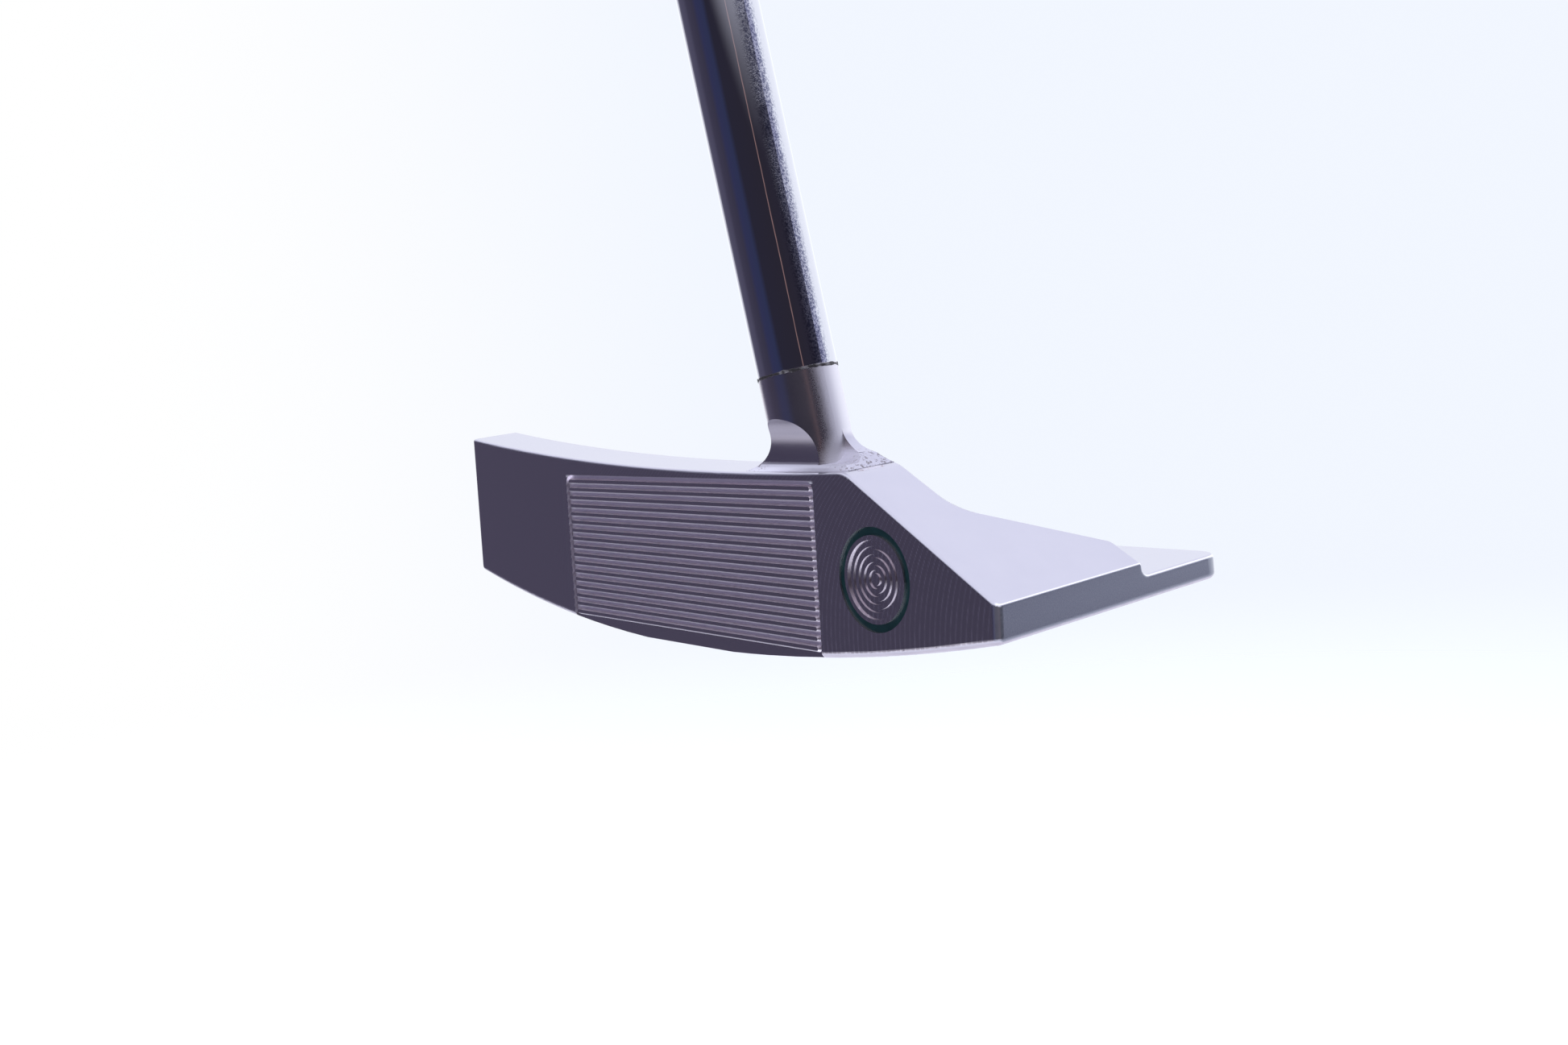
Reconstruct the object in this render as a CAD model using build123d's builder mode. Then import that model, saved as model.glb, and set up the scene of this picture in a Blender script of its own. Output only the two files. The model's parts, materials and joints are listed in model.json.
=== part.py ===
"""Blade putter: milled steel head, welded neck with an over-hosel post, chromed stepped shaft and grip.

Frame, in millimetres: +Z is up with the putter soled, -Y is the way the face looks and +X points to the
sloped end of the head. The origin is the middle of the sole's flat.
"""
import os
from math import atan, cos, radians, sin, tan

from build123d import *

# Head outline, seen square to the face
head_length = 115.4
half_length = head_length / 2
loft_rise = 0.0755                     # how far the face leans back for each mm of height
face_tilt = atan(loft_rise)
topline_low_x = 17                     # the topline is lowest here and rises to the tall end
topline_low_z = 23.15
topline_radius = 625
slope_start_x = 34.3                   # where the topline turns down
slope_angle = radians(30.1)
slope_turn_radius = 4
sole_radius_tall = 243                 # sole camber towards the tall end
sole_radius_sloped = 285               # sole camber towards the sloped end
sole_flat_half = 10
edge_round = 0.4                       # face side of the topline and the slope
leading_edge_round = 0.8
front_corner_round = 0.9               # between the face and the end walls
end_edge_round = 0.5                   # tops of the end walls

# Head depth, front to back
head_depth = 38.5
front = -head_depth / 2                # leading edge
back = head_depth / 2
blade_back = front + 10.2              # back surface of the blade
bumper_back = front + 24.0             # where each bumper ends and the flange goes on
bumper_inner_root = 43.0               # |x| where the bumper leaves the blade
bumper_inner_end = 53.2                # |x| of the bumper's inner back corner
bumper_tall_drop = 2.0                 # the tall end's bumper stands this much higher than the sloped one
bumper_root_round = 5.0
bumper_corner_round = 1.2
flange_top = 8.39
flange_corner_round = 3.0
cavity_floor_round = 1.0

# Milled face panel: a shallow pocket with bars left standing in it
panel_half = 28.55
panel_top = 22.25
panel_depth = 0.42
panel_corner_round = 1.3
bar_count = 17
bar_pitch = 1.188
bar_width = 0.52
bar_end_gap = 0.5
bar_first_z = 21.33                    # height of the top bar's middle
bar_flank = 24                         # flank slope of a bar, degrees

# Round ornament beside the panel: painted ring groove around a turned disc
ornament_x = 38.58
ornament_z = 11.32
ornament_groove_radius = 5.55
ornament_groove_width = 0.95
ornament_groove_depth = 0.55
ornament_disc_radius = 4.55
ornament_disc_depth = 0.25
ornament_rings = (3.6, 2.7, 1.8, 0.9)   # outermost first, because each one clears what lies inside it
ornament_ring_width = 0.36
ornament_ring_depth = 0.16
paint_depth = 0.3

# Sight line on the flange
sight_width = 1.0
sight_length = 16.0
sight_depth = 0.5
sight_back_gap = 3.5

# Neck and shaft
shaft_lean = atan(0.158)               # leans to the tall end
neck_foot = Vector(24.21, front + 6.3, 23.3)   # axis of neck and shaft at topline height
neck_radius = 4.9
joint_z = 34.9                         # height of the shaft's lower end on the axis
post_radius = 4.35
post_length = 28.0
post_chamfer = 0.6
shaft_wall = 0.45
butt_radius = 7.6
putter_length = 864.0                  # along the shaft, from the ground to the grip's end
tip_parallel = 250.0
step_count = 12
step_pitch = 24.0
step_length = 0.8
residue_width = 0.45
residue_proud = 0.12

# Foot of the neck: elliptical bells along the blade, scallops in front and behind
tall_bell_top = 5.3                    # where each bell leaves the column, along the axis
tall_bell_height = 3.9
tall_bell_reach = 5.3
sloped_bell_top = 3.6
sloped_bell_height = 4.3
sloped_bell_reach = 8.0
foot_slope_gap = 0.3                   # the foot's toe stops this far before the slope starts
foot_ramp_reach = 7.3                  # from here outwards the foot is trimmed to run on up from the slope
foot_sink = 4.0                        # the foot is drawn this far below the topline, then trimmed to it
foot_seat = 0.3                        # the foot is cut off flat this far below the scallops' floor
foot_lip = 0.5                         # the foot is cut back to the blade's edges up to here above that floor
foot_inset = 0.3                       # how far the foot stays inside the blade's edges
scallop_radius = 5.8
scallop_center_y = front - 2.3
scallop_center_z = 25.2
scallop_floor = 23.05                  # just under the topline
scallop_floor_round = 1.6
scoop_radius = 2.4                     # round-nosed cut in front of the sloped side's bell
scoop_center_y = front + 4.8
scoop_center_z = 26.3
scoop_start_x = neck_foot.X + 3
weld_radius = 0.9
weld_height = 0.25
weld_tall_reach = 9.3                  # distance of each bead from the axis
weld_sloped_reach = 9.8
weld_inset = 2.2                       # how far the beads stop short of the blade's edges

# Grip
grip_length = 267.0
tape_thickness = 0.2
tape_inset = 4.0
cap_thickness = 3.0
cap_round = 1.8
vent_radius = 1.5
thumb_share = 0.12                     # share of a section's growth that goes to the flat side
palm_round_share = 0.48                # palm-side corner radius as a share of the narrower size

overrun = 5.0                          # how far cutters reach past the stock

os.makedirs("parts", exist_ok=True)


def topline(x):
    return topline_low_z + (x - topline_low_x) ** 2 / (2 * topline_radius)


def sole(x):
    radius = sole_radius_tall if x < 0 else sole_radius_sloped
    reach = max(abs(x) - sole_flat_half, 0)
    return reach * (reach + 2 * sole_flat_half) / (2 * radius)


def slope(x):
    return topline(slope_start_x) - (x - slope_start_x) * tan(slope_angle)


face_top_y = front + topline_low_z * loft_rise
face_plane = Plane(origin=(0, front, 0), x_dir=(1, 0, 0), z_dir=(0, -cos(face_tilt), sin(face_tilt)))
neck_plane = Plane(origin=neck_foot, x_dir=(cos(shaft_lean), 0, sin(shaft_lean)),
                   z_dir=(-sin(shaft_lean), 0, cos(shaft_lean)))
shaft_axis = Axis(origin=neck_foot, direction=neck_plane.z_dir)
along_face_plane = Plane(origin=(0, front, 0), x_dir=(1, 0, 0), z_dir=(0, sin(face_tilt), cos(face_tilt)))


def up_axis(distance):
    """The plane square to the shaft at a distance along it from the topline."""
    return neck_plane.offset(distance)


def on_face(z):
    """Distance up the face for a height."""
    return z / cos(face_tilt)


# ---------------------------------------------------------------- head body
with BuildPart() as head_body:
    with BuildSketch(Plane.XZ.offset(-back)):
        with BuildLine():
            tall_top = (-half_length, topline(-half_length))
            tall_bottom = (-half_length, sole(-half_length))
            sloped_bottom = (half_length, sole(half_length))
            sloped_top = (half_length, slope(half_length))
            turn = (slope_start_x, topline(slope_start_x))
            topline_middle_x = (slope_start_x - half_length) / 2
            sole_middle_x = (half_length + sole_flat_half) / 2
            ThreePointArc(tall_top, (topline_middle_x, topline(topline_middle_x)), turn)
            Line(turn, sloped_top)
            Line(sloped_top, sloped_bottom)
            ThreePointArc(sloped_bottom, (sole_middle_x, sole(sole_middle_x)), (sole_flat_half, 0))
            Line((sole_flat_half, 0), (-sole_flat_half, 0))
            ThreePointArc((-sole_flat_half, 0), (-sole_middle_x, sole(-sole_middle_x)), tall_bottom)
            Line(tall_bottom, tall_top)
        make_face()
    extrude(amount=head_depth + overrun)
    turn_edge = head_body.edges().filter_by(Axis.Y).sort_by_distance((turn[0], 0, turn[1]))[0]
    fillet(turn_edge, slope_turn_radius)
    with BuildSketch(along_face_plane.offset(-overrun)):
        Rectangle(head_length, 2 * head_depth, align=(Align.CENTER, Align.MIN))
        fillet(vertices().group_by(Axis.Y)[0], front_corner_round)
    extrude(amount=topline(-half_length) + 2 * overrun, mode=Mode.INTERSECT)
    back_corners = head_body.edges().filter_by(Axis.Z).group_by(Axis.Y)[-1]
    fillet(back_corners, flange_corner_round)
    leading_edges = head_body.faces().filter_by(face_plane)[0].edges()
    fillet(leading_edges.filter_by(lambda e: e.center().Z < sole(half_length)), leading_edge_round)
    face_rim = head_body.faces().filter_by(face_plane)[0].edges()
    fillet(face_rim.filter_by(lambda e: e.center().Z > turn[1] / 2 and abs(e.center().X) < bumper_inner_end),
           edge_round)

with BuildPart() as cavity:
    with BuildSketch(Plane.XY.offset(flange_top)):
        with BuildLine():
            cut_end = half_length + overrun
            Polyline((-cut_end, bumper_back), (-bumper_inner_end, bumper_back),
                     (-bumper_inner_root, blade_back), (bumper_inner_root, blade_back),
                     (bumper_inner_end, bumper_back), (cut_end, bumper_back),
                     (cut_end, back + overrun), (-cut_end, back + overrun), close=True)
        make_face()
        fillet(vertices().group_by(Axis.Y)[0], bumper_root_round)
        fillet(vertices().group_by(Axis.Y)[-2].sort_by(Axis.X)[1:3], bumper_corner_round)
    extrude(amount=topline(-half_length))

with BuildPart() as tall_bumper_top:
    with BuildSketch(Plane.XZ.offset(-back - overrun)):
        with BuildLine():
            rise = tan(slope_angle)
            low = slope(half_length) + bumper_tall_drop
            inner_x = overrun - bumper_inner_root
            cut_top = topline(-half_length) + overrun
            outer_x = -half_length - overrun
            Polyline((outer_x, low - overrun * rise), (inner_x, low + (inner_x + half_length) * rise),
                     (inner_x, cut_top), (outer_x, cut_top), close=True)
        make_face()
    extrude(amount=back + overrun - blade_back)

with head_body:
    add(tall_bumper_top.part, mode=Mode.SUBTRACT)
    add(cavity.part, mode=Mode.SUBTRACT)
    cavity_floor = head_body.edges().filter_by(
        lambda e: abs(e.center().Z - flange_top) < 0.01 and e.bounding_box().max.Y < bumper_back - 0.1)
    fillet(cavity_floor, cavity_floor_round)
    end_tops = head_body.edges().filter_by(
        lambda e: abs(e.center().X) > half_length - 0.01 and e.center().Z > flange_top - 0.01
        and abs((e @ 1 - e @ 0).Y) > abs((e @ 1 - e @ 0).Z))
    fillet(end_tops, end_edge_round)

# Panel: everything inside the pocket's outline except the bars
bar_root_width = bar_width + 2 * panel_depth * tan(radians(bar_flank))
with BuildPart() as panel_cut:
    with BuildSketch(face_plane.offset(overrun)):
        with Locations((0, on_face((panel_top - overrun) / 2))):
            Rectangle(2 * panel_half, on_face(panel_top + overrun))
        fillet(vertices().group_by(Axis.Y)[-1], panel_corner_round)
    extrude(amount=-overrun - panel_depth)
    with BuildSketch(face_plane.offset(-panel_depth)):
        for index in range(bar_count):
            with Locations((0, on_face(bar_first_z) - index * bar_pitch)):
                SlotOverall(2 * (panel_half - bar_end_gap), bar_root_width)
    extrude(amount=panel_depth, taper=bar_flank, mode=Mode.SUBTRACT)

ornament_place = Location((ornament_x, on_face(ornament_z)))
sight_place = Location((0, back - sight_back_gap - sight_length / 2))

with head_body:
    add(panel_cut.part, mode=Mode.SUBTRACT)
    with BuildSketch(face_plane):
        with Locations(ornament_place):
            Circle(ornament_groove_radius + ornament_groove_width / 2)
            Circle(ornament_groove_radius - ornament_groove_width / 2, mode=Mode.SUBTRACT)
    extrude(amount=-ornament_groove_depth, mode=Mode.SUBTRACT)
    with BuildSketch(face_plane):
        with Locations(ornament_place):
            Circle(ornament_disc_radius)
    extrude(amount=-ornament_disc_depth, mode=Mode.SUBTRACT)
    with BuildSketch(face_plane.offset(-ornament_disc_depth)):
        with Locations(ornament_place):
            for ring in ornament_rings:
                Circle(ring + ornament_ring_width / 2)
                Circle(ring - ornament_ring_width / 2, mode=Mode.SUBTRACT)
    extrude(amount=-ornament_ring_depth, mode=Mode.SUBTRACT)
    with BuildSketch(Plane.XY.offset(flange_top)):
        with Locations(sight_place):
            SlotOverall(sight_length, sight_width, rotation=90)
    extrude(amount=-sight_depth, mode=Mode.SUBTRACT)

with BuildPart() as sight_line_paint:
    with BuildSketch(Plane.XY.offset(flange_top - sight_depth)):
        with Locations(sight_place):
            SlotOverall(sight_length, sight_width, rotation=90)
    extrude(amount=paint_depth)

with BuildPart() as ornament_paint:
    with BuildSketch(face_plane.offset(-ornament_groove_depth)):
        with Locations(ornament_place):
            Circle(ornament_groove_radius + ornament_groove_width / 2)
            Circle(ornament_groove_radius - ornament_groove_width / 2, mode=Mode.SUBTRACT)
    extrude(amount=paint_depth)

# ---------------------------------------------------------------- neck
joint = (joint_z - neck_foot.Z) / cos(shaft_lean)
foot_plane = Plane(origin=neck_foot, x_dir=(0, 1, 0), z_dir=neck_plane.x_dir)
blade_thickness = blade_back - face_top_y

with BuildPart() as neck:
    # Foot: half a bell about the shaft's axis on each side
    for top, height, reach, side in ((tall_bell_top, tall_bell_height, tall_bell_reach, 1),
                                     (sloped_bell_top, sloped_bell_height, sloped_bell_reach, -1)):
        rim = neck_radius + reach
        with BuildSketch(foot_plane):
            with BuildLine():
                EllipticalCenterArc((-rim, top), reach, height, start_angle=270, arc_size=90)
                Polyline((-neck_radius, top), (0, top), (0, -foot_sink), (-rim, -foot_sink),
                         (-rim, top - height))
            make_face()
        revolve(axis=shaft_axis, revolution_arc=-180 * side)
    with BuildSketch(Plane.XZ.offset(foot_inset - blade_back)):
        with BuildLine():
            toe_x = slope_start_x - foot_slope_gap
            ramp_x = neck_foot.X + foot_ramp_reach
            ramp_z = topline(toe_x) + (toe_x - ramp_x) * tan(slope_angle)
            far_x = neck_foot.X - 4 * neck_radius
            Polyline((far_x, 0), (toe_x, 0), (toe_x, topline(toe_x)), (ramp_x, ramp_z), (ramp_x, joint_z),
                     (far_x, joint_z), close=True)
        make_face()
    extrude(amount=blade_thickness - 2 * foot_inset, mode=Mode.INTERSECT)
    with BuildSketch(Plane.YZ.offset(scoop_start_x)):
        with Locations((scoop_center_y, scoop_center_z)):
            Circle(scoop_radius)
        with Locations((scoop_center_y + scoop_radius, scoop_center_z),
                       (scoop_center_y, scoop_center_z - scoop_radius)):
            Rectangle(blade_thickness, joint_z - scoop_center_z, align=(Align.MAX, Align.MIN))
    extrude(amount=2 * neck_radius, mode=Mode.SUBTRACT)
    with BuildSketch(up_axis(-foot_sink)):
        Circle(neck_radius)
    extrude(amount=joint + foot_sink)
    # Scallops under the column, front and back, and the foot trimmed to the blade
    with BuildSketch(Plane.YZ.offset(neck_foot.X - 4 * neck_radius)):
        with Locations((scallop_center_y, scallop_center_z),
                       (2 * neck_foot.Y - scallop_center_y, scallop_center_z)):
            Circle(scallop_radius)
        with Locations((neck_foot.Y, scallop_floor)):
            Rectangle(8 * scallop_radius, 2 * scallop_radius, align=(Align.CENTER, Align.MIN),
                      mode=Mode.INTERSECT)
        floor_corners = vertices().group_by(Axis.Y)[0].sort_by(Axis.X)
        fillet(floor_corners[1:3], scallop_floor_round)
        with Locations((neck_foot.Y, scallop_floor - foot_seat)):
            Rectangle(8 * scallop_radius, 2 * foot_sink, align=(Align.CENTER, Align.MAX))
        with Locations((face_top_y + foot_inset, scallop_floor + foot_lip)):
            Rectangle(2 * scallop_radius, foot_sink, align=(Align.MAX, Align.MAX))
        with Locations((blade_back - foot_inset, scallop_floor + foot_lip)):
            Rectangle(2 * scallop_radius, foot_sink, align=(Align.MIN, Align.MAX))
    extrude(amount=8 * neck_radius, mode=Mode.SUBTRACT)
    add(head_body.part, mode=Mode.SUBTRACT)
    with BuildSketch(up_axis(joint)):
        Circle(post_radius)
    extrude(amount=post_length)
    post_end = up_axis(joint + post_length).origin
    post_rim = neck.edges().filter_by(GeomType.CIRCLE).sort_by_distance(post_end)[0]
    chamfer(post_rim, post_chamfer)

with BuildPart() as weld_beads:
    with BuildSketch(Plane.XZ.offset(weld_inset - blade_back)):
        for toe in (neck_foot.X - weld_tall_reach, neck_foot.X + weld_sloped_reach):
            with Locations((toe, topline(toe) + weld_height - weld_radius)):
                Circle(weld_radius)
    extrude(amount=blade_thickness - 2 * weld_inset)
    add(head_body.part, mode=Mode.SUBTRACT)
    add(neck.part, mode=Mode.SUBTRACT)

# ---------------------------------------------------------------- shaft and joint
side_plane = Plane(origin=neck_foot, x_dir=neck_plane.x_dir, z_dir=(0, -1, 0))
grip_end = putter_length - neck_foot.Z / cos(shaft_lean)
shaft_end = grip_end - cap_thickness
grip_start = grip_end - grip_length
step_rise = (butt_radius - neck_radius) / step_count

outside = [(neck_radius, joint)]
for index in range(step_count):
    step_at = joint + tip_parallel + index * step_pitch
    radius = neck_radius + index * step_rise
    outside += [(radius, step_at), (radius + step_rise, step_at + step_length)]
outside.append((butt_radius, shaft_end))
inside = [(radius - shaft_wall, distance) for radius, distance in reversed(outside)]

with BuildPart() as shaft:
    with BuildSketch(side_plane):
        with BuildLine():
            Polyline(*outside, *inside, close=True)
        make_face()
    revolve(axis=shaft_axis)

with BuildPart() as post_adhesive:
    with BuildSketch(up_axis(joint)):
        Circle(neck_radius - shaft_wall)
        Circle(post_radius, mode=Mode.SUBTRACT)
    extrude(amount=post_length - post_chamfer)

with BuildPart() as joint_residue:
    with BuildSketch(up_axis(joint - residue_width)):
        Circle(neck_radius + residue_proud)
        Circle(neck_radius, mode=Mode.SUBTRACT)
    extrude(amount=residue_width)

# ---------------------------------------------------------------- grip
grip_bore = butt_radius + tape_thickness

with BuildPart() as grip_tape:
    with BuildSketch(up_axis(grip_start + tape_inset)):
        Circle(grip_bore)
        Circle(butt_radius, mode=Mode.SUBTRACT)
    extrude(amount=shaft_end - grip_start - tape_inset)

# Grip sections: share of length, depth, width, thumb-side corner radius; the flat thumb side faces -X
grip_sections = (
    (0.0, 18.4, 18.4, 8.0),
    (0.3, 20.5, 21.5, 5.0),
    (0.7, 23.0, 24.5, 4.5),
    (1.0, 25.5, 27.0, 4.5),
)
start_depth = grip_sections[0][1]

with BuildPart() as grip:
    for share, depth, width, corner in grip_sections:
        with BuildSketch(up_axis(grip_start + share * (shaft_end - grip_start))):
            with Locations((thumb_share * (depth - start_depth), 0)):
                Rectangle(depth, width)
            sides = vertices().group_by(Axis.X)
            fillet(sides[0], corner)
            fillet(sides[-1], palm_round_share * min(depth, width))
    loft()
    with BuildSketch(up_axis(grip_start - overrun)):
        Circle(grip_bore)
    extrude(amount=grip_length + overrun, mode=Mode.SUBTRACT)

with BuildPart() as grip_cap:
    with BuildSketch(up_axis(shaft_end)):
        share, depth, width, corner = grip_sections[-1]
        with Locations((thumb_share * (depth - start_depth), 0)):
            Rectangle(depth, width)
        sides = vertices().group_by(Axis.X)
        fillet(sides[0], corner)
        fillet(sides[-1], palm_round_share * min(depth, width))
        Circle(vent_radius, mode=Mode.SUBTRACT)
    extrude(amount=cap_thickness)
    end_face = grip_cap.faces().filter_by(GeomType.PLANE).sort_by_distance(up_axis(grip_end).origin)[0]
    fillet(end_face.outer_wire().edges(), cap_round)

# ---------------------------------------------------------------- files
pieces = {
    "head_body": head_body,
    "neck": neck,
    "weld_beads": weld_beads,
    "ornament_paint": ornament_paint,
    "sight_line_paint": sight_line_paint,
    "shaft": shaft,
    "post_adhesive": post_adhesive,
    "joint_residue": joint_residue,
    "grip_tape": grip_tape,
    "grip": grip,
    "grip_cap": grip_cap,
}
for name, piece in pieces.items():
    piece.part.label = name
    export_step(piece.part, f"parts/{name}.step")
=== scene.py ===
"""Blade putter: materials, fine detail, floor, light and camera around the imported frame.

Metres, in the frame's own axes: +Z up with the putter soled, -Y the way the face looks, +X the sloped end.
"""
import json
from math import atan, cos, pi, radians, sin

import bmesh
import bpy
from mathutils import Matrix, Vector, noise


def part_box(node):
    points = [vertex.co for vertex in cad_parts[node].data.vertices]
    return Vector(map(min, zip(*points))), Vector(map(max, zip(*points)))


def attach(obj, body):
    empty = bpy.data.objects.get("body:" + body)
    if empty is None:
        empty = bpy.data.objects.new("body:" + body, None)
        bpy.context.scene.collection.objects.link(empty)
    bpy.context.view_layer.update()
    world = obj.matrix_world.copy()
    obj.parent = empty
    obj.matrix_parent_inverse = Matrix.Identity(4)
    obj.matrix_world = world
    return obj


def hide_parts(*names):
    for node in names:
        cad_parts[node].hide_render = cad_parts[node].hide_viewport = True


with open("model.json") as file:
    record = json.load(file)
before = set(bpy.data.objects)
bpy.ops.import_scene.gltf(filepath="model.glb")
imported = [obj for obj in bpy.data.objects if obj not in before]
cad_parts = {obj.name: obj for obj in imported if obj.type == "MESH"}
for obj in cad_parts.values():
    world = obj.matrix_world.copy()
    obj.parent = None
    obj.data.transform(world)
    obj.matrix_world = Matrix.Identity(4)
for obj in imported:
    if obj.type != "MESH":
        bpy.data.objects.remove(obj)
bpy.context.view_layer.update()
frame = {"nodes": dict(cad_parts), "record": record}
nodes = frame["nodes"]
scene = bpy.context.scene
MM = 0.001
MICRON = 0.000001

# Sizes of the head that its pattern follows
FACE_FRONT = -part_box("head_body")[1][1]       # leading edge before rounding: the head is centred on Y = 0
LOFT_RISE = 0.0755                            # how far the face leans back for its height
SOFT = 0.2 * MM                               # half the width of a region's soft border
PANEL_HALF = 28.55 * MM
PANEL_TOP = 22.25 * MM
PANEL_DEPTH = 0.42 * MM
CUTS_REACH = 1.5 * MM                         # nothing cut into the face is deeper
BAR_COUNT = 17
BAR_FIRST_Z = 21.33 * MM
BAR_PITCH = 1.188 * MM * cos(atan(LOFT_RISE))
BAR_HALF = 0.26 * MM
LAST_BAR_Z = BAR_FIRST_Z - (BAR_COUNT - 1) * BAR_PITCH
ORNAMENT = (38.58 * MM, 0, 11.32 * MM)
ORNAMENT_REACH = 6.1 * MM
CUTTER_RADIUS = 23.3 * MM                     # of the face mill that left the arcs
CUTTER_Z = 4.0 * MM                           # height that the face mill's middle passed at
ROW_PITCH = 0.80 * MM
BEAD_PITCH = 0.36 * MM
BEADS_CLEAR_Z = 17.0 * MM                     # below this the second family of arcs weakens
BEADS_WEAK_Z = 7.0 * MM
ARCS_NONE_X = -45.0 * MM                      # the arcs grow from none here, near the tall end
ARCS_FULL_X = 20.0 * MM
END_DARK_Z = 2.0 * MM                         # the painted shade at the foot of the end walls lifts from here up
END_LIGHT_Z = 8.5 * MM
FLANGE_TOP = 8.39 * MM
FLANGE_SOFT = 0.6 * MM
PASS_PITCH = 0.6 * MM
PASSES_END = 28.0 * MM                        # passes on the flange fade out from here to PASSES_GONE
PASSES_GONE = 42.0 * MM

# Axis of the neck and shaft: where it meets the topline, and its direction
NECK_X = 24.21 * MM
NECK = Vector((24.21, -12.95, 23.3)) * MM
LEAN = Vector((-0.158, 0.0, 1.0)).normalized()
NECK_RADIUS = 4.9 * MM
BACK_SLOPED_SIDE = (0.613, 0.782, 0.0)        # the side of neck and shaft with the coarser finish
FOOT_TOP = 26.2 * MM                          # rust and milling passes grow from here down to FOOT_LOW
FOOT_LOW = 23.6 * MM
TOES_FROM = 5.0 * MM                          # either side of NECK_X, rust grows from here to TOES_TO
TOES_TO = 7.5 * MM
FOOT_PASS_PITCH = 0.32 * MM
WIDER_FROM = 27.8 * MM                        # the coarser finish reaches further round below this
WIDER_TO = 24.0 * MM

# Top of the blade by the neck
TOPLINE_LOW_X = 17.0 * MM                     # where the topline is lowest
TOPLINE_LOW_Z = 23.15 * MM
TOPLINE_RADIUS = 625.0 * MM
TURN_X = 34.3 * MM                            # where the topline turns down into the slope
TURN_Z = 23.39 * MM
TURN_DROP = 0.14 * MM                         # the weld sinks this much at the turn
TURN_REACH = 1.0 * MM
SLOPE_FALL = 0.58                             # fall of the slope for its length along X

# Crust of adhesive at the joint, and weld at the neck's toes
RESIDUE_PROUD = 0.12 * MM
RESIDUE_HALF = 0.34 * MM
RESIDUE_SUNK = 0.02 * MM
WELD_HALF = 0.50 * MM
WELD_TALL = 0.09 * MM
WELD_END = 0.02                               # how far into its taper each bead begins


# ---------------------------------------------------------------- node helpers
class Graph:
    """Builds a node tree: every call returns an output socket, and numbers or sockets go in alike."""

    def __init__(self, tree):
        self.tree = tree
        tree.nodes.clear()

    def put(self, value, socket):
        if isinstance(value, bpy.types.NodeSocket):
            self.tree.links.new(value, socket)
        else:
            socket.default_value = value

    def node(self, kind, settings=None, **inputs):
        node = self.tree.nodes.new(kind)
        for name, value in (settings or {}).items():
            setattr(node, name, value)
        for name, value in inputs.items():
            self.put(value, node.inputs[name.replace("_", " ")])
        return node

    def math(self, operation, *values, clamp=False):
        node = self.node("ShaderNodeMath", {"operation": operation, "use_clamp": clamp})
        for value, socket in zip(values, node.inputs):
            self.put(value, socket)
        return node.outputs[0]

    def vector(self, operation, *values):
        node = self.node("ShaderNodeVectorMath", {"operation": operation})
        for value, socket in zip(values, node.inputs):
            self.put(value, socket)
        return node.outputs["Value" if operation in ("DISTANCE", "LENGTH", "DOT_PRODUCT") else "Vector"]

    def step(self, value, low, high):
        """0 below low, 1 above high, smooth between."""
        node = self.node("ShaderNodeMapRange", {"interpolation_type": "SMOOTHSTEP"}, Value=value)
        self.put(low, node.inputs["From Min"])
        self.put(high, node.inputs["From Max"])
        return node.outputs["Result"]

    def mix(self, factor, a, b):
        node = self.node("ShaderNodeMix", {"data_type": "RGBA"})
        self.put(factor, node.inputs["Factor"])
        self.put(a, node.inputs[6])
        self.put(b, node.inputs[7])
        return node.outputs[2]

    def blend(self, factor, a, b):
        node = self.node("ShaderNodeMix", {"data_type": "FLOAT"})
        self.put(factor, node.inputs["Factor"])
        self.put(a, node.inputs[2])
        self.put(b, node.inputs[3])
        return node.outputs[0]

    def noise(self, place, scale, detail=3.0, rough=0.55):
        node = self.node("ShaderNodeTexNoise", Vector=place, Scale=scale, Detail=detail, Roughness=rough)
        return node.outputs["Fac"]

    def stretched(self, place, scale):
        return self.vector("MULTIPLY", place, scale)

    def ramp(self, value, stops):
        node = self.node("ShaderNodeValToRGB", Fac=value)
        elements = node.color_ramp.elements
        while len(elements) < len(stops):
            elements.new(0.5)
        for element, (at, colour) in zip(elements, stops):
            element.position = at
            element.color = (*colour, 1)
        return node.outputs["Color"]

    def split(self, vector):
        node = self.node("ShaderNodeSeparateXYZ", Vector=vector)
        return node.outputs[0], node.outputs[1], node.outputs[2]

    def join(self, x, y, z):
        node = self.node("ShaderNodeCombineXYZ")
        for value, socket in zip((x, y, z), node.inputs):
            self.put(value, socket)
        return node.outputs[0]

    def bump(self, height):
        return self.node("ShaderNodeBump", Height=height, Strength=1.0, Distance=1.0).outputs["Normal"]


def surface(name, colour, metallic, roughness, build):
    """A Principled material; build(graph, place, normal) returns the sockets that a pattern drives."""
    material = bpy.data.materials.new(name)
    material.use_nodes = True
    graph = Graph(material.node_tree)
    shader = graph.node("ShaderNodeBsdfPrincipled", Metallic=metallic, Roughness=roughness)
    shader.inputs["Base Color"].default_value = (*colour, 1)
    where = graph.node("ShaderNodeTexCoord")
    for socket, value in build(graph, where.outputs["Object"], where.outputs["Normal"]).items():
        graph.put(value, shader.inputs[socket])
    out = graph.node("ShaderNodeOutputMaterial")
    graph.put(shader.outputs[0], out.inputs["Surface"])
    return material


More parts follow.
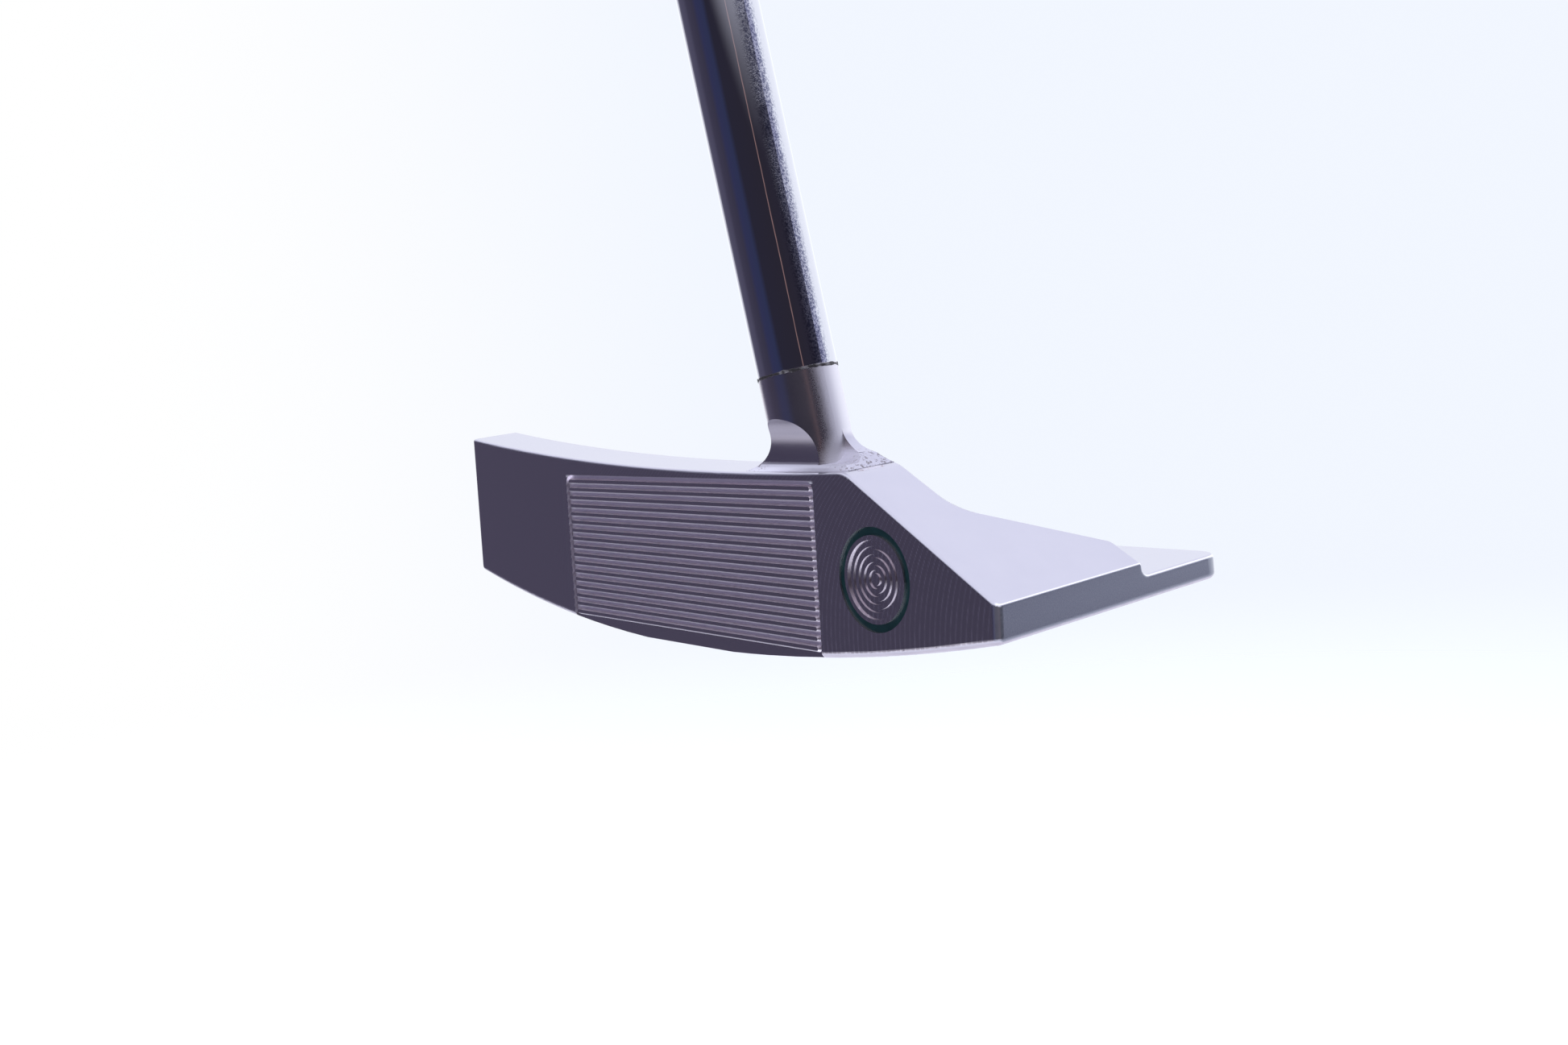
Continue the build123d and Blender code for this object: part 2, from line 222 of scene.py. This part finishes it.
# ---------------------------------------------------------------- materials
def head_pattern(g, place, normal):
    """Milled face with a barred panel, satin top, milling passes behind the blade, bead-blasted end walls;
    painted highlights on the bars' lower edges and on the edges above the end walls, painted reflection on
    the cut flanks, painted shade low on the end walls.
    """
    x, y, z = g.split(place)
    normal_x, normal_y, normal_z = g.split(normal)
    on_face = g.step(g.math("MULTIPLY", normal_y, -1), 0.93, 0.985)
    sideways = g.math("ABSOLUTE", normal_x)
    on_end = g.step(sideways, 0.80, 0.97)
    upward = g.step(normal_z, 0.45, 0.7)
    sunk = g.math("SUBTRACT", g.math("SUBTRACT", y, FACE_FRONT), g.math("MULTIPLY", z, LOFT_RISE))
    near_face = g.step(sunk, CUTS_REACH + SOFT, CUTS_REACH)
    in_panel = g.math("MULTIPLY", g.step(g.math("ABSOLUTE", x), PANEL_HALF + SOFT, PANEL_HALF - SOFT),
                      g.step(z, PANEL_TOP + SOFT, PANEL_TOP - SOFT))
    in_panel = g.math("MULTIPLY", in_panel, near_face)
    valley = g.math("MULTIPLY", g.step(sunk, 0.7 * PANEL_DEPTH, 0.95 * PANEL_DEPTH), in_panel)
    valley = g.math("MULTIPLY", valley, g.step(z, LAST_BAR_Z - 2.5 * SOFT, LAST_BAR_Z))
    from_ornament = g.vector("DISTANCE", g.join(x, 0.0, z), ORNAMENT)
    in_ornament = g.step(from_ornament, ORNAMENT_REACH + 0.5 * SOFT, ORNAMENT_REACH - 0.5 * SOFT)
    in_ornament = g.math("MULTIPLY", in_ornament, near_face)
    flanks = g.math("MULTIPLY", g.math("MAXIMUM", in_panel, in_ornament), g.math("SUBTRACT", 1.0, on_face))
    underside = g.step(normal_z, 0.2, -0.3)
    down = g.math("SUBTRACT", BAR_FIRST_Z, z)
    from_bar = g.math("WRAP", down, BAR_PITCH / 2, -BAR_PITCH / 2)
    # Painted highlight along the lower edge of each bar's top, which is also made rougher there
    wear_and_painted_highlight = g.math("MULTIPLY", g.step(from_bar, 0.55 * BAR_HALF, 0.95 * BAR_HALF), in_panel)
    wear_and_painted_highlight = g.math("SUBTRACT", wear_and_painted_highlight, g.step(sunk, 0.05 * PANEL_DEPTH, 0.2 * PANEL_DEPTH), clamp=True)

    # Fly-cut milling: the cutter's leading and trailing edges leave two crossing families of arcs
    above = g.math("SUBTRACT", z, CUTTER_Z)
    bow = g.math("SQRT", g.math("SUBTRACT", CUTTER_RADIUS ** 2, g.math("POWER", above, 2.0)))

    def marks(across, pitch, sharp):
        wave = g.math("SINE", g.math("MULTIPLY", across, 2 * pi / pitch))
        return g.math("POWER", g.math("MULTIPLY_ADD", wave, 0.5, 0.5), sharp)

    rows = marks(g.math("ADD", x, bow), ROW_PITCH, 4.0)
    beads = marks(g.math("SUBTRACT", x, bow), BEAD_PITCH, 1.5)
    lower = g.step(z, BEADS_CLEAR_Z, BEADS_WEAK_Z)
    beads = g.blend(g.math("MULTIPLY", lower, 0.7), beads, 0.5)
    patchy = g.math("MULTIPLY_ADD", g.step(g.noise(place, 900.0, 3.0), 0.30, 0.70), 0.7, 0.3)
    grown = g.step(x, ARCS_NONE_X, ARCS_FULL_X)
    mill = g.math("MULTIPLY", g.math("MULTIPLY", rows, beads), g.math("MULTIPLY", patchy, grown))
    mill = g.math("MULTIPLY", mill, g.math("MULTIPLY", on_face, g.math("SUBTRACT", 1.0, in_panel)))
    along = g.noise(g.stretched(place, (90.0, 5200.0, 5200.0)), 1.0, 3.0)
    grit = g.noise(place, 3200.0, 4.0, 0.6)
    mottle = g.noise(place, 170.0, 4.0, 0.6)

    satin = g.mix(mottle, (0.555, 0.55, 0.61, 1), (0.62, 0.61, 0.665, 1))
    cavity_floor = g.math("MULTIPLY", g.step(z, FLANGE_TOP + FLANGE_SOFT, FLANGE_TOP + SOFT), upward)
    cavity_floor = g.math("MULTIPLY", cavity_floor, g.step(x, PASSES_GONE, PASSES_END))
    behind = g.math("MAXIMUM", g.step(normal_y, 0.5, 0.8), cavity_floor)
    passes = g.math("SINE", g.math("MULTIPLY", g.math("ADD", y, z), 2 * pi / PASS_PITCH))
    passes = g.math("MULTIPLY", g.math("MULTIPLY_ADD", passes, 0.3, along), behind)
    satin = g.mix(g.math("MULTIPLY", passes, 0.9, clamp=True), satin, (0.40, 0.39, 0.44, 1))
    fine = g.noise(place, 7000.0, 3.0, 0.6)
    blasted = g.mix(fine, (0.215, 0.225, 0.27, 1), (0.40, 0.415, 0.46, 1))
    # Painted shade: the end walls darken towards the bottom
    rising = g.step(z, END_DARK_Z, END_LIGHT_Z)
    blasted = g.mix(rising, g.mix(0.5, blasted, (0.16, 0.16, 0.19, 1)), blasted)
    cut = g.mix(mill, (0.54, 0.50, 0.53, 1), (0.96, 0.93, 0.96, 1))
    cut = g.mix(g.math("MULTIPLY", along, g.math("MULTIPLY", in_panel, 0.25)), cut, (0.72, 0.66, 0.68, 1))
    cut = g.mix(valley, cut, (0.98, 0.90, 1.0, 1))
    # painted highlight on the bars' lower edges
    cut = g.mix(wear_and_painted_highlight, cut, (1.0, 0.98, 1.0, 1))
    sole = g.step(normal_z, -0.25, -0.55)
    streaks = g.noise(g.stretched(place, (60.0, 1500.0, 1500.0)), 1.0, 3.0)
    satin = g.mix(sole, satin, g.mix(streaks, (0.40, 0.37, 0.42, 1), (0.60, 0.56, 0.60, 1)))
    # Painted highlight, flecked, along the rounded edges where the top and the slope turn down into the end
    # walls
    painted_edge_highlight = g.math("MULTIPLY", g.step(sideways, 0.50, 0.66), g.step(sideways, 0.92, 0.80))
    painted_edge_highlight = g.math("MULTIPLY", g.math("MULTIPLY", painted_edge_highlight, fine), g.step(normal_z, 0.1, 0.3))
    satin = g.mix(g.math("MULTIPLY", painted_edge_highlight, 1.6, clamp=True), satin, (1.0, 1.0, 1.0, 1))
    colour = g.mix(on_end, g.mix(on_face, satin, cut), blasted)
    # Painted reflection on the flanks of the panel and the ornament: nearly white where they face down,
    # darker where they face up
    colour = g.mix(flanks, colour, g.mix(underside, (0.50, 0.44, 0.48, 1), (0.98, 0.96, 0.99, 1)))
    rough = g.math("MULTIPLY_ADD", mottle, 0.10, 0.28)
    rough = g.blend(on_face, rough, g.math("MULTIPLY_ADD", valley, 0.24, 0.24))
    rough = g.blend(wear_and_painted_highlight, rough, 0.62)
    rough = g.blend(on_end, rough, g.math("MULTIPLY_ADD", fine, 0.24, 0.26))
    height = g.math("MULTIPLY_ADD", mill, 8 * MICRON, g.math("MULTIPLY", grit, 2.5 * MICRON))
    height = g.math("MULTIPLY_ADD", passes, 4 * MICRON, height)
    height = g.math("MULTIPLY_ADD", g.math("MULTIPLY", fine, on_end), 10 * MICRON, height)
    streaky = g.math("MULTIPLY", along, g.math("ADD", upward, in_panel))
    height = g.math("MULTIPLY_ADD", streaky, 1.2 * MICRON, height)
    return {"Base Color": colour, "Roughness": rough, "Normal": g.bump(height)}


def neck_pattern(g, place, normal):
    """Turned column over a milled foot: coarser towards the sloped side, specks of rust at the toes, painted
    shade where it faces down and painted light where it faces up.
    """
    x, y, z = g.split(place)
    normal_z = g.split(normal)[2]
    turned = g.noise(g.stretched(place, (500.0, 500.0, 4800.0)), 1.0, 3.0)
    grain = g.noise(place, 9500.0, 3.0, 0.6)
    mottle = g.noise(place, 140.0, 3.0, 0.5)
    foot = g.step(z, FOOT_TOP, FOOT_LOW)
    passes = g.math("SINE", g.math("MULTIPLY", z, 2 * pi / FOOT_PASS_PITCH))
    rust = g.step(g.noise(place, 2300.0, 5.0, 0.7), 0.54, 0.62)
    toes = g.step(g.math("ABSOLUTE", g.math("SUBTRACT", x, NECK_X)), TOES_FROM, TOES_TO)
    rust = g.math("MULTIPLY", g.math("MULTIPLY", rust, foot), toes)
    toward = g.vector("DOT_PRODUCT", normal, BACK_SLOPED_SIDE)
    toward = g.math("MULTIPLY_ADD", g.step(z, WIDER_FROM, WIDER_TO), 0.30, toward)
    blasted = g.step(g.math("MULTIPLY_ADD", g.math("SUBTRACT", grain, 0.5), 0.5, toward), 0.22, 0.62)
    overhang = g.step(normal_z, -0.20, -0.45)
    floor_side = g.step(normal_z, 0.22, 0.60)
    satin = g.mix(mottle, (0.53, 0.49, 0.53, 1), (0.60, 0.56, 0.59, 1))
    satin = g.mix(blasted, satin, (0.84, 0.82, 0.86, 1))
    # Painted shade on faces that look down
    satin = g.mix(overhang, satin, (0.31, 0.29, 0.33, 1))
    # Painted light on faces that look up, which are also rougher
    satin = g.mix(floor_side, satin, (0.74, 0.73, 0.80, 1))
    colour = g.mix(g.math("MULTIPLY", rust, 0.6), satin, (0.26, 0.19, 0.17, 1))
    rough = g.math("MULTIPLY_ADD", blasted, 0.30, g.math("MULTIPLY_ADD", mottle, 0.08, 0.20))
    rough = g.math("MULTIPLY_ADD", floor_side, 0.20, rough)
    rough = g.math("MULTIPLY_ADD", rust, 0.3, rough)
    height = g.math("MULTIPLY_ADD", turned, 1.5 * MICRON, g.math("MULTIPLY", rust, -20 * MICRON))
    height = g.math("MULTIPLY_ADD", g.math("MULTIPLY", grain, blasted), 6 * MICRON, height)
    height = g.math("MULTIPLY_ADD", g.math("MULTIPLY", passes, foot), 3 * MICRON, height)
    return {"Base Color": colour, "Roughness": rough, "Normal": g.bump(height)}


def weld_pattern(g, place, normal):
    """Lumpy bright weld with specks of rust."""
    lumps = g.noise(place, 1500.0, 5.0, 0.65)
    stain = g.step(g.noise(place, 2400.0, 5.0, 0.7), 0.54, 0.62)
    colour = g.mix(g.math("MULTIPLY", stain, 0.7), (0.66, 0.64, 0.70, 1), (0.30, 0.22, 0.20, 1))
    return {"Base Color": colour, "Roughness": g.math("MULTIPLY_ADD", lumps, 0.3, 0.3),
            "Normal": g.bump(g.math("MULTIPLY", lumps, 80 * MICRON))}


def chrome_pattern(g, place, normal):
    """Mirror chrome with faint draw lines, a haze of fine scuffs and a speckled patch down one side."""
    haze = g.noise(g.stretched(place, (1.0, 1.0, 0.35)), 420.0, 5.0, 0.6)
    dust = g.step(g.noise(place, 9000.0, 2.0, 0.5), 0.66, 0.74)
    patch = g.step(g.noise(g.stretched(place, (1.0, 1.0, 0.5)), 150.0, 4.0, 0.6), 0.40, 0.60)
    toward = g.vector("DOT_PRODUCT", normal, BACK_SLOPED_SIDE)
    side = g.math("MULTIPLY", g.step(toward, 0.25, 0.65), g.step(toward, 0.98, 0.85))
    speckled = g.math("MULTIPLY", patch, side)
    pits = g.noise(place, 5200.0, 3.0, 0.7)
    dusty = g.math("MULTIPLY", dust, patch)
    colour = g.mix(g.math("MULTIPLY", dusty, 0.35), (0.62, 0.62, 0.66, 1), (0.80, 0.80, 0.88, 1))
    border = g.math("MULTIPLY", g.step(toward, 0.30, 0.50), g.step(toward, 0.86, 0.70))
    specks = g.math("MULTIPLY", g.step(g.noise(place, 3800.0, 4.0, 0.7), 0.47, 0.54), border)
    colour = g.mix(g.math("MULTIPLY", specks, 0.8), colour, (0.10, 0.11, 0.20, 1))
    rough = g.math("ADD", g.math("MULTIPLY", haze, 0.05), g.math("MULTIPLY", speckled, 0.06))
    wave = g.noise(g.stretched(place, (1.0, 1.0, 0.05)), 420.0, 3.0)
    drawn = g.math("MULTIPLY", wave, 10 * MICRON)
    height = g.math("MULTIPLY_ADD", g.math("MULTIPLY", pits, speckled), 30 * MICRON, drawn)
    return {"Base Color": colour, "Roughness": rough, "Normal": g.bump(height)}


def paint_pattern(dark, light):
    """A pattern of pooled paint between two colours."""
    def pattern(g, place, normal):
        pool = g.noise(place, 700.0, 3.0)
        return {"Base Color": g.mix(pool, (*dark, 1), (*light, 1)),
                "Roughness": g.math("MULTIPLY_ADD", pool, 0.2, 0.22),
                "Normal": g.bump(g.math("MULTIPLY", pool, 20 * MICRON))}
    return pattern


def adhesive_pattern(g, place, normal):
    """Lumpy black adhesive, rubbed grey in places."""
    lumps = g.noise(place, 2200.0, 5.0, 0.7)
    grey = g.step(g.noise(place, 800.0, 3.0), 0.48, 0.66)
    colour = g.mix(grey, (0.03, 0.026, 0.028, 1), (0.30, 0.29, 0.30, 1))
    return {"Base Color": colour, "Roughness": g.math("MULTIPLY_ADD", lumps, 0.4, 0.3),
            "Normal": g.bump(g.math("MULTIPLY", lumps, 60 * MICRON))}


def tape_pattern(g, place, normal):
    """Tape with fibres that run up it."""
    fibre = g.noise(g.stretched(place, (1.0, 1.0, 0.15)), 900.0, 4.0)
    return {"Base Color": g.mix(fibre, (0.66, 0.63, 0.54, 1), (0.80, 0.78, 0.70, 1)),
            "Normal": g.bump(g.math("MULTIPLY", fibre, 40 * MICRON))}


def rubber_pattern(g, place, normal):
    """Grained rubber, a little lighter and rougher where it is worn."""
    grain = g.noise(place, 1700.0, 4.0, 0.6)
    wear_and_painted_highlight = g.noise(place, 60.0, 3.0)
    return {"Base Color": g.mix(wear_and_painted_highlight, (0.018, 0.018, 0.020, 1), (0.034, 0.033, 0.035, 1)),
            "Roughness": g.math("MULTIPLY_ADD", wear_and_painted_highlight, 0.16, 0.60),
            "Normal": g.bump(g.math("MULTIPLY", grain, 50 * MICRON))}


materials = {
    "head_steel": surface("head_steel", (0.58, 0.57, 0.61), 1.0, 0.3, head_pattern),
    "neck_steel": surface("neck_steel", (0.58, 0.56, 0.60), 1.0, 0.25, neck_pattern),
    "weld": surface("weld", (0.45, 0.42, 0.43), 1.0, 0.4, weld_pattern),
    "green_paint": surface("green_paint", (0.01, 0.06, 0.06), 0.0, 0.3,
                           paint_pattern((0.003, 0.022, 0.024), (0.006, 0.05, 0.05))),
    "white_paint": surface("white_paint", (0.8, 0.8, 0.78), 0.0, 0.3,
                           paint_pattern((0.72, 0.72, 0.70), (0.84, 0.84, 0.82))),
    "shaft_chrome": surface("shaft_chrome", (0.62, 0.62, 0.66), 1.0, 0.04, chrome_pattern),
    "adhesive": surface("adhesive", (0.05, 0.045, 0.045), 0.0, 0.45, adhesive_pattern),
    "tape": surface("tape", (0.75, 0.72, 0.64), 0.0, 0.8, tape_pattern),
    "grip_rubber": surface("grip_rubber", (0.025, 0.025, 0.027), 0.0, 0.65, rubber_pattern),
    "cap_rubber": surface("cap_rubber", (0.025, 0.025, 0.027), 0.0, 0.6, rubber_pattern),
}
slots = {part["node"]: part["material_slot"] for part in frame["record"]["subparts"]}
for name, node in nodes.items():
    node.data.materials.clear()
    node.data.materials.append(materials[slots[name]])


# ---------------------------------------------------------------- pieces in place of plain CAD solids
def finish_piece(name, mesh, replaced):
    """Links a mesh in the node's place, on the root body, with the material of the node's slot, and hides the
    node.
    """
    piece = bpy.data.objects.new(name, mesh)
    scene.collection.objects.link(piece)
    for polygon in mesh.polygons:
        polygon.use_smooth = True
    mesh.materials.append(materials[slots[replaced]])
    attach(piece, "root")
    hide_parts(replaced)


def uneven(point, size, least):
    """A share between least and 1 that varies over about the size, for crusted adhesive and weld."""
    coarse = noise.noise(point / size)
    fine = noise.noise(point / (0.35 * size) + Vector((7, 3, 5)))
    return least + (1 - least) * min(1.0, max(0.0, 0.5 + 0.55 * coarse + 0.35 * fine))


def add_mesh(name, shape, replaced):
    """Turns a finished bmesh into the piece that stands in for a CAD node."""
    bmesh.ops.recalc_face_normals(shape, faces=shape.faces)
    mesh = bpy.data.meshes.new(name)
    shape.to_mesh(mesh)
    shape.free()
    finish_piece(name, mesh, replaced)


def make_residue():
    """Crust of adhesive squeezed out round the shaft's lower end, thick in places and thin in others."""
    low, high = (Vector(corner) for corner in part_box("joint_residue"))
    middle = (low + high) / 2
    centre = NECK + LEAN * (middle - NECK).dot(LEAN)
    across = Vector((LEAN.z, 0.0, -LEAN.x))
    sideways = Vector((0.0, 1.0, 0.0))
    apart = Vector((0, 0, 0.02))              # keeps the crust's thickness from following its height
    around, section = 360, 10
    shape = bmesh.new()
    rings = []
    for k in range(around):
        turn = 2 * pi * k / around
        outward = across * cos(turn) + sideways * sin(turn)
        here = outward * NECK_RADIUS
        thick = RESIDUE_PROUD * uneven(here + apart, 0.9 * MM, 0.25)
        tall = RESIDUE_HALF * uneven(here, 1.3 * MM, 0.20)
        shift = RESIDUE_HALF * 0.35 * noise.noise(here / (1.7 * MM))
        ring = []
        for j in range(section):
            angle = 2 * pi * j / section
            out = NECK_RADIUS - RESIDUE_SUNK + thick * (0.5 + 0.5 * cos(angle))
            ring.append(shape.verts.new(centre + outward * out + LEAN * (shift + tall * sin(angle))))
        rings.append(ring)
    for k in range(around):
        ahead = rings[(k + 1) % around]
        for j in range(section):
            shape.faces.new((rings[k][j], ahead[j], ahead[(j + 1) % section], rings[k][(j + 1) % section]))
    add_mesh("residue_crust", shape, "joint_residue")


def blade_top(x):
    """Height of the blade's top about where it turns into the slope, a little low at the turn itself."""
    topline = TOPLINE_LOW_Z + (x - TOPLINE_LOW_X) ** 2 / (2 * TOPLINE_RADIUS)
    slope = TURN_Z - (x - TURN_X) * SLOPE_FALL
    return min(topline, slope) - TURN_DROP * max(0.0, 1.0 - abs(x - TURN_X) / TURN_REACH)


def make_weld():
    """Low uneven weld along each toe of the neck, half sunk into the top of the blade."""
    low, high = (Vector(corner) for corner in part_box("weld_beads"))
    shape = bmesh.new()
    along, section = 90, 12
    for toe in (low.x + WELD_HALF, high.x - WELD_HALF):
        rings = []
        for k in range(along):
            share = k / (along - 1)
            y = low.y + share * (high.y - low.y)
            taper = sin(pi * (WELD_END + (1 - 2 * WELD_END) * share)) ** 0.35
            wide = WELD_HALF * taper * uneven(Vector((toe, y, 0)), 1.1 * MM, 0.55)
            ring = []
            for j in range(section):
                angle = 2 * pi * j / section
                place = Vector((toe + wide * cos(angle), y, 0))
                tall = WELD_TALL * taper * uneven(place, 0.7 * MM, 0.35)
                ring.append(shape.verts.new((place.x, y, blade_top(place.x) + tall * sin(angle))))
            rings.append(ring)
        for k in range(along - 1):
            for j in range(section):
                shape.faces.new((rings[k][j], rings[k][(j + 1) % section],
                                 rings[k + 1][(j + 1) % section], rings[k + 1][j]))
        shape.faces.new(rings[0])
        shape.faces.new(reversed(rings[-1]))
    add_mesh("weld_seams", shape, "weld_beads")


make_residue()
make_weld()


# ---------------------------------------------------------------- surroundings
# Light by direction in plan: the angle from +X towards +Y in degrees, and the colour there
BAND = (
    (-180, (0.30, 0.30, 0.38)), (-174, (0.15, 0.145, 0.21)), (-166, (0.115, 0.108, 0.175)),
    (-150, (0.105, 0.098, 0.160)), (-138, (0.072, 0.066, 0.112)), (-118, (0.060, 0.055, 0.095)),
    (-106, (0.046, 0.050, 0.125)), (-88, (0.042, 0.050, 0.120)), (-76, (0.032, 0.030, 0.052)),
    (-21, (0.034, 0.030, 0.046)), (-19.5, (0.55, 0.33, 0.31)), (-18, (0.034, 0.030, 0.046)),
    (18, (0.034, 0.031, 0.052)), (28, (0.065, 0.064, 0.10)), (38, (0.17, 0.17, 0.25)),
    (50, (0.42, 0.43, 0.62)), (57, (0.58, 0.60, 0.82)), (64, (1.25, 1.30, 1.42)),
    (165, (1.15, 1.18, 1.26)), (174, (0.72, 0.72, 0.82)),
)


def make_world():
    """Bright above, below and behind the head, and a dark room on the side that the face looks at."""
    world = bpy.data.worlds.new("studio")
    scene.world = world
    world.use_nodes = True
    g = Graph(world.node_tree)
    direction = g.node("ShaderNodeTexCoord").outputs["Generated"]
    x, y, z = g.split(direction)
    turn = g.math("MULTIPLY_ADD", g.math("ARCTAN2", y, x), 0.5 / pi, 0.5)
    ring = g.ramp(turn, [((angle + 180) / 360, colour) for angle, colour in BAND])
    above = g.step(z, 0.36, 0.62)
    below = g.step(z, -0.30, -0.52)
    around = g.mix(g.math("MAXIMUM", above, below), ring, (1.15, 1.17, 1.36, 1))
    light = g.node("ShaderNodeBackground", Color=around, Strength=1.0)
    tall_side = g.vector("DOT_PRODUCT", direction, tuple(-share for share in BACK_SLOPED_SIDE))
    whiter = g.step(tall_side, -0.02, 0.40)
    backdrop = g.mix(whiter, (0.885, 0.925, 1.0, 1), (1.0, 1.0, 1.0, 1))
    seen = g.node("ShaderNodeBackground", Color=backdrop, Strength=1.0)
    pick = g.node("ShaderNodeMixShader")
    g.put(g.node("ShaderNodeLightPath").outputs["Is Camera Ray"], pick.inputs[0])
    g.put(light.outputs[0], pick.inputs[1])
    g.put(seen.outputs[0], pick.inputs[2])
    g.put(pick.outputs[0], g.node("ShaderNodeOutputWorld").inputs["Surface"])


FLOOR_DROP = 0.20
FLOOR_RADIUS = 1.6
FADE_FROM = 0.18 * FLOOR_RADIUS
FADE_TO = 0.66 * FLOOR_RADIUS


def make_floor():
    """A pale round floor below the head. It fades outwards, and only camera rays see it."""
    shape = bmesh.new()
    rings, spokes = 24, 96
    middle = shape.verts.new((0, 0, -FLOOR_DROP))
    last = None
    for ring in range(1, rings + 1):
        radius = FLOOR_RADIUS * ring / rings
        turns = [2 * pi * k / spokes for k in range(spokes)]
        now = [shape.verts.new((radius * cos(turn), radius * sin(turn), -FLOOR_DROP)) for turn in turns]
        for k in range(spokes):
            if last:
                shape.faces.new((last[k], now[k], now[k - spokes + 1], last[k - spokes + 1]))
            else:
                shape.faces.new((middle, now[k], now[k - spokes + 1]))
        last = now
    mesh = bpy.data.meshes.new("floor")
    shape.to_mesh(mesh)
    shape.free()
    floor = bpy.data.objects.new("floor", mesh)
    scene.collection.objects.link(floor)
    material = bpy.data.materials.new("floor")
    material.use_nodes = True
    g = Graph(material.node_tree)
    place = g.node("ShaderNodeTexCoord").outputs["Object"]
    away = g.vector("LENGTH", place)
    tint = g.mix(g.noise(place, 1.5, 2.0), (0.80, 0.84, 0.90, 1), (0.86, 0.89, 0.93, 1))
    matte = g.node("ShaderNodeBsdfDiffuse", Color=tint)
    glow = g.node("ShaderNodeEmission", Color=(0.93, 0.96, 1.0, 1), Strength=0.32)
    both = g.node("ShaderNodeAddShader")
    g.put(matte.outputs[0], both.inputs[0])
    g.put(glow.outputs[0], both.inputs[1])
    fade = g.node("ShaderNodeMixShader")
    seen = g.node("ShaderNodeLightPath").outputs["Is Camera Ray"]
    shown = g.math("MULTIPLY", g.step(away, FADE_TO, FADE_FROM), seen)
    g.put(g.math("SUBTRACT", 1.0, shown), fade.inputs[0])
    g.put(both.outputs[0], fade.inputs[1])
    g.put(g.node("ShaderNodeBsdfTransparent").outputs[0], fade.inputs[2])
    g.put(fade.outputs[0], g.node("ShaderNodeOutputMaterial").inputs["Surface"])
    mesh.materials.append(material)


CAMERA_PLACE = Vector((171.320, -130.575, 42.977)) * MM
CAMERA_AZIMUTH = radians(52.8406)             # from -Y towards +X, seen from the head
CAMERA_ELEVATION = radians(7.8679)
CAMERA_ROLL = radians(-6.8173)
FOCAL_LENGTH = 36.045                         # in the camera's own millimetres, as is the sensor's width
SENSOR_WIDTH = 36.0


def make_camera():
    """The camera, a little above the head, in front of the face and out past the sloped end."""
    lens = bpy.data.cameras.new("camera")
    lens.sensor_width = SENSOR_WIDTH
    lens.lens = FOCAL_LENGTH
    lens.clip_start = 10 * MM
    lens.clip_end = 20.0
    camera = bpy.data.objects.new("camera", lens)
    scene.collection.objects.link(camera)
    turned = (Matrix.Rotation(CAMERA_AZIMUTH, 4, "Z") @ Matrix.Rotation(pi / 2 - CAMERA_ELEVATION, 4, "X")
              @ Matrix.Rotation(CAMERA_ROLL, 4, "Z"))
    camera.matrix_world = Matrix.Translation(CAMERA_PLACE) @ turned
    scene.camera = camera


make_world()
make_floor()
make_camera()
scene.view_settings.view_transform = "Standard"
